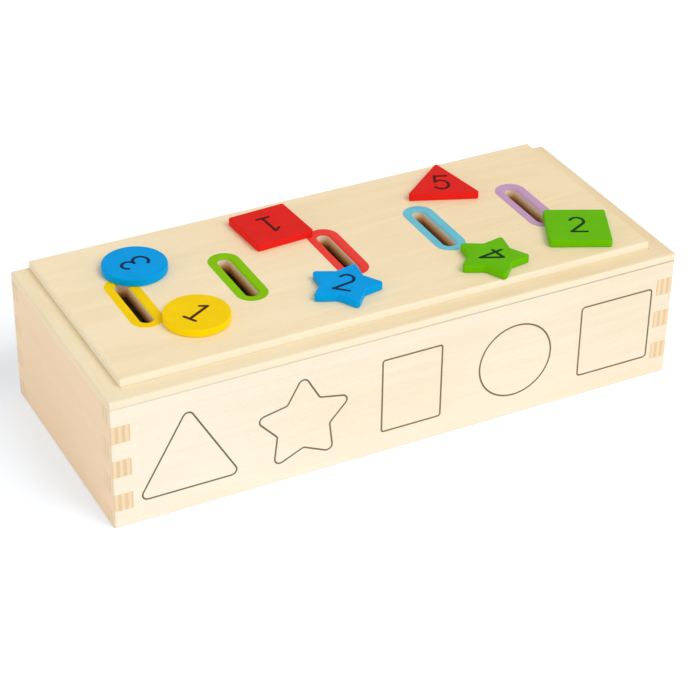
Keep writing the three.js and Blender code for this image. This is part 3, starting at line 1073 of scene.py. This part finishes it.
# %% Paint the rings
SLOT_LENGTH = 47.4 * MM
SLOT_WIDTH = 8.5 * MM
SLOT_EASE = 0.8 * MM
SLOT_ROW_Y = 6.2 * MM
RING_BAND = 5.85 * MM
RING_DROP = 1.0 * MM
RING_ROOT = 0.3 * MM
RING_CORNER = FILM / 3
RING_CORNER_STEPS = 3
SLOT_END_STEPS = 32
RING_COLOURS = palette(
    yellow=(249, 209, 5), green=(133, 194, 0), red=(237, 66, 56), blue=(110, 192, 211),
    purple=(196, 155, 192))


def slot_path():
    """The outline of a slot round its own middle: two half circles, which straight walls join."""
    half_straight = (SLOT_LENGTH - SLOT_WIDTH) / 2
    radius = SLOT_WIDTH / 2
    far_end = arc(0, half_straight, radius, radius, 0, 180, steps=SLOT_END_STEPS)
    near_end = arc(0, -half_straight, radius, radius, 180, 360, steps=SLOT_END_STEPS)
    return [(x, y, 0) for x, y in far_end + near_end]


def ring_section():
    """Distances out from the slot's wall and up from the lid's top, all round the film."""
    corners = [
        (RING_BAND, FILM), (SLOT_EASE, FILM), (-FILM, -SLOT_EASE), (-FILM, -RING_DROP),
        (RING_ROOT, -RING_DROP), (SLOT_EASE + RING_ROOT, -RING_ROOT), (RING_BAND, -RING_ROOT),
    ]
    radii = [RING_CORNER, SLOT_EASE / 2, FILM] + [RING_CORNER] * 4
    return rounded_outline([Vector(corner) for corner in corners], radii, steps=RING_CORNER_STEPS)


openings = {row["name"]: row["box_m"] for row in frame["record"]["physics"]["openings"]}
for name, colour in RING_COLOURS.items():
    low, high = openings[f"slot_{name}"]
    middle = Vector(((low[0] + high[0]) / 2, SLOT_ROW_Y, lid_top))
    ring_paint = paint_finish(f"{name}_ring_paint", colour)
    add_painted_line(
        f"{name}_ring", [(slot_path(), True)], ring_section(), ring_paint,
        Matrix.Translation(middle), "lid")
    print(f"{name} ring at X {middle.x / MM:.1f} mm")

# %% [markdown]
# The front carries the outlines of the five shapes, one before each bay, as a thin brown line burnt or
# printed into the birch. They are the tokens' shapes at a larger size, standing up on the face. Each is
# given by the place of its middle, in millimetres to the right and above the table, and its outline.

# %% Print the outlines on the front
OUTLINE_WIDTH = 1.1 * MM
OUTLINE_FILM = 0.06 * MM
front_face = Matrix.Rotation(math.radians(90), 4, "X")
FRONT_OUTLINES = [
    (-140.3, 40.5, triangle_outline(side=63.8 * MM, radius=3.4 * MM)),
    (-67.8, 40.1, star_outline(
        diameter=66 * MM, waist_share=0.54, tip_radius=3.4 * MM, waist_radius=2.6 * MM)),
    (3.85, 39.9, box_outline(width=39.9 * MM, height=50.6 * MM, radius=1.6 * MM)),
    (75.2, 39.7, circle_outline(diameter=49.9 * MM)),
    (146.65, 39.5, box_outline(width=50.7 * MM, height=49.4 * MM, radius=2.2 * MM)),
]
outline_strokes = []
for x, z, points in FRONT_OUTLINES:
    bottom, top = min(point.y for point in points), max(point.y for point in points)
    rise = z * MM - (bottom + top) / 2
    outline_strokes.append(([(point.x + x * MM, point.y + rise, 0) for point in points], True))
outline_ink = paint_finish("outline_ink", srgb(120, 104, 82))
add_painted_line(
    "front_outlines", outline_strokes, flat_section(OUTLINE_WIDTH, OUTLINE_FILM), outline_ink,
    Matrix.Translation((0, cad_low.y, 0)) @ front_face, "box")
print(len(outline_strokes), "outlines on the front")

# %% [markdown]
# The toy stands on a table. For the eye of the camera, and in reflections, it is plain white away from
# the toy: near it the table has its own pale shade and takes the shadow. Beside the toy a cooler glow
# takes back the warm light that the wood throws on the table. The Light Path node tells such rays from
# the ones that carry light, so the background is white without more light on the toy.

# %% Set the table
TABLE_SIZE = 8
TABLE_GAP = 0.05 * MM
TABLE_GREY = (0.9, 0.9, 0.9, 1.0)
TABLE_SHADE = (0.875, 0.905, 0.945, 1.0)
GLOW_BESIDE = (0.212, 0.25, 0.288, 1.0)
GLOW_BEHIND = (0.18, 0.18, 0.18, 1.0)
BEHIND = (60 * MM, 110 * MM)
WHITE = (1.0, 1.0, 1.0, 1.0)
SHADOW_REACH = 0.38
WHITE_REACH = 0.8


def seen_directly(start):
    """1 for rays from the camera and for those that a glossy or clear surface sends on."""
    camera_ray = start.node("ShaderNodeLightPath", output="Is Camera Ray")
    glossy_ray = start.node("ShaderNodeLightPath", output="Is Glossy Ray")
    clear_ray = start.node("ShaderNodeLightPath", output="Is Transmission Ray")
    return camera_ray.at_least(glossy_ray).at_least(clear_ray)


def table_finish():
    """Plain pale grey for the light, and for the camera a shade near the toy that fades to white."""
    material = bpy.data.materials.new("white_table")
    start = empty_tree(material)
    working = start.node("ShaderNodeBsdfDiffuse", inputs={"Color": TABLE_GREY})
    place = start.node("ShaderNodeTexCoord", output="Object")
    distance = (place.axis(X) * place.axis(X) + place.axis(Y) * place.axis(Y)).root()
    far = distance.ramp(SHADOW_REACH, WHITE_REACH)
    shaded = start.node("ShaderNodeBsdfDiffuse", inputs={"Color": TABLE_SHADE})
    near_glow = mixed(place.axis(Y).ramp(*BEHIND), GLOW_BESIDE, GLOW_BEHIND)
    glow = start.node("ShaderNodeEmission", inputs={"Color": mixed(far, near_glow, WHITE)})
    shown = start.node("ShaderNodeAddShader", inputs={0: shaded, 1: glow})
    choice = start.node("ShaderNodeMixShader", inputs={0: seen_directly(start), 1: working, 2: shown})
    start.node("ShaderNodeOutputMaterial", inputs={"Surface": choice})
    return material


def add_table():
    work = bmesh.new()
    bmesh.ops.create_grid(work, x_segments=1, y_segments=1, size=TABLE_SIZE / 2)
    bmesh.ops.translate(work, verts=work.verts, vec=(0, 0, cad_low.z - TABLE_GAP))
    table = finished_object("table_top", work, table_finish())
    return table


table = add_table()
print(f"{table.name} is {TABLE_SIZE} m wide")

# %% [markdown]
# The world lights everything softly and evenly, and the camera sees it as plain white, like the table.
# A large lamp high to the right of the front gives the light its direction, so that the front is
# brightest and the shadow falls to the left, and a low lamp on the left keeps that end from going
# grey. The view transform is Standard, so that a colour shows about as it is written.

# %% Light the toy
WORLD_STRENGTH = 0.62
LAMPS = {
    "key_lamp": {"power": 175, "size": 3.4, "distance": 6.0, "azimuth": 32, "elevation": 50},
    "fill_lamp": {"power": 44, "size": 2.2, "distance": 6.0, "azimuth": -80, "elevation": 12},
}


def light_world():
    world = bpy.data.worlds.new("white_room")
    bpy.context.scene.world = world
    start = empty_tree(world)
    light = start.node("ShaderNodeBackground", inputs={"Color": WHITE, "Strength": WORLD_STRENGTH})
    shown = start.node("ShaderNodeBackground", inputs={"Color": WHITE, "Strength": 1.0})
    choice = start.node("ShaderNodeMixShader", inputs={0: seen_directly(start), 1: light, 2: shown})
    start.node("ShaderNodeOutputWorld", inputs={"Surface": choice})


def add_lamp(name, power, size, distance, azimuth, elevation):
    """A square lamp that looks at the toy, placed by two angles in degrees and a distance in metres."""
    data = bpy.data.lights.new(name, "AREA")
    data.energy = power
    data.size = size
    lamp = linked_object(name, data)
    towards = direction_to(math.radians(azimuth), math.radians(elevation))
    lamp.location = CAMERA_TARGET + distance * towards
    lamp.rotation_euler = (-towards).to_track_quat("-Z", "Y").to_euler()


light_world()
for name, settings in LAMPS.items():
    add_lamp(name, **settings)
bpy.context.scene.view_settings.view_transform = "Standard"
print("lamps:", ", ".join(f"{name} {settings['power']} W" for name, settings in LAMPS.items()))

# %% [markdown]
# The finish may stand a hair proud of the construction, as a film of paint does, but the toy keeps its
# size.
